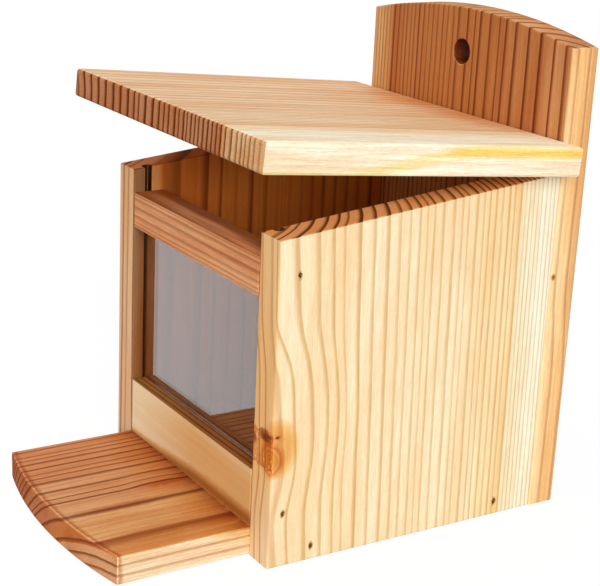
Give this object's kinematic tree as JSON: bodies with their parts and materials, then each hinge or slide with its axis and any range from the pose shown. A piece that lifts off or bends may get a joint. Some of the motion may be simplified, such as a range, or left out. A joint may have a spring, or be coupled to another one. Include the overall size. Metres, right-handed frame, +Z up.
{
  "type": "squirrel feeder box",
  "caption": "Wooden squirrel feeder with a hinged lid standing open, a clear window over a low board, a platform with a bowed front and a tall arched back board to hang it by.",
  "frame": {"origin": "on the ground plane, under the middle of the whole feeder's bounding box with the lid standing open", "axes": "+Z up, +Y towards the wall or tree behind the back board, -Y out over the platform, +X to the right seen from the front"},
  "size_m": [0.244, 0.318, 0.312],
  "materials": {
    "larch_sides": "planed pale larch sapwood, unfinished",
    "larch_back": "planed red-brown larch heartwood, unfinished",
    "larch_platform": "planed orange-brown larch, unfinished",
    "larch_rail": "planed pinkish brown larch heartwood, unfinished",
    "larch_lid": "planed light orange larch with eased edges, unfinished",
    "zinc_steel": "bright zinc-plated steel",
    "clear_acrylic": "clear cast sheet, glossy on both faces"
  },
  "bodies": {
    "box": {"back_board": "larch_back", "left_side": "larch_sides", "right_side": "larch_sides", "floor_board": "larch_platform", "kick_board": "larch_sides", "top_rail": "larch_rail", "window_pane": "clear_acrylic", "left_rail_brad": "zinc_steel", "left_kick_brad": "zinc_steel", "left_floor_front_brad": "zinc_steel", "left_floor_rear_brad": "zinc_steel", "right_rail_brad": "zinc_steel", "right_kick_brad": "zinc_steel", "right_floor_front_brad": "zinc_steel", "right_floor_rear_brad": "zinc_steel", "back_screw_left_1": "zinc_steel", "back_screw_left_2": "zinc_steel", "back_screw_left_3": "zinc_steel", "back_screw_right_1": "zinc_steel", "back_screw_right_2": "zinc_steel", "back_screw_right_3": "zinc_steel", "back_screw_floor_1": "zinc_steel", "back_screw_floor_2": "zinc_steel", "left_hinge_back_leaf": "zinc_steel", "left_hinge_pin": "zinc_steel", "left_hinge_back_screw_1": "zinc_steel", "left_hinge_back_screw_2": "zinc_steel", "right_hinge_back_leaf": "zinc_steel", "right_hinge_pin": "zinc_steel", "right_hinge_back_screw_1": "zinc_steel", "right_hinge_back_screw_2": "zinc_steel"},
    "lid": {"lid": "larch_lid", "left_hinge_lid_leaf": "zinc_steel", "left_hinge_lid_screw_1": "zinc_steel", "left_hinge_lid_screw_2": "zinc_steel", "right_hinge_lid_leaf": "zinc_steel", "right_hinge_lid_screw_1": "zinc_steel", "right_hinge_lid_screw_2": "zinc_steel"}
  },
  "joints": [
    {"name": "lid_hinge", "type": "hinge", "parent": "box", "child": "lid", "pos_m": [0, 0.13645, 0.2226], "axis": [1, 0, 0], "range_deg": [0, 11.8]}
  ]
}
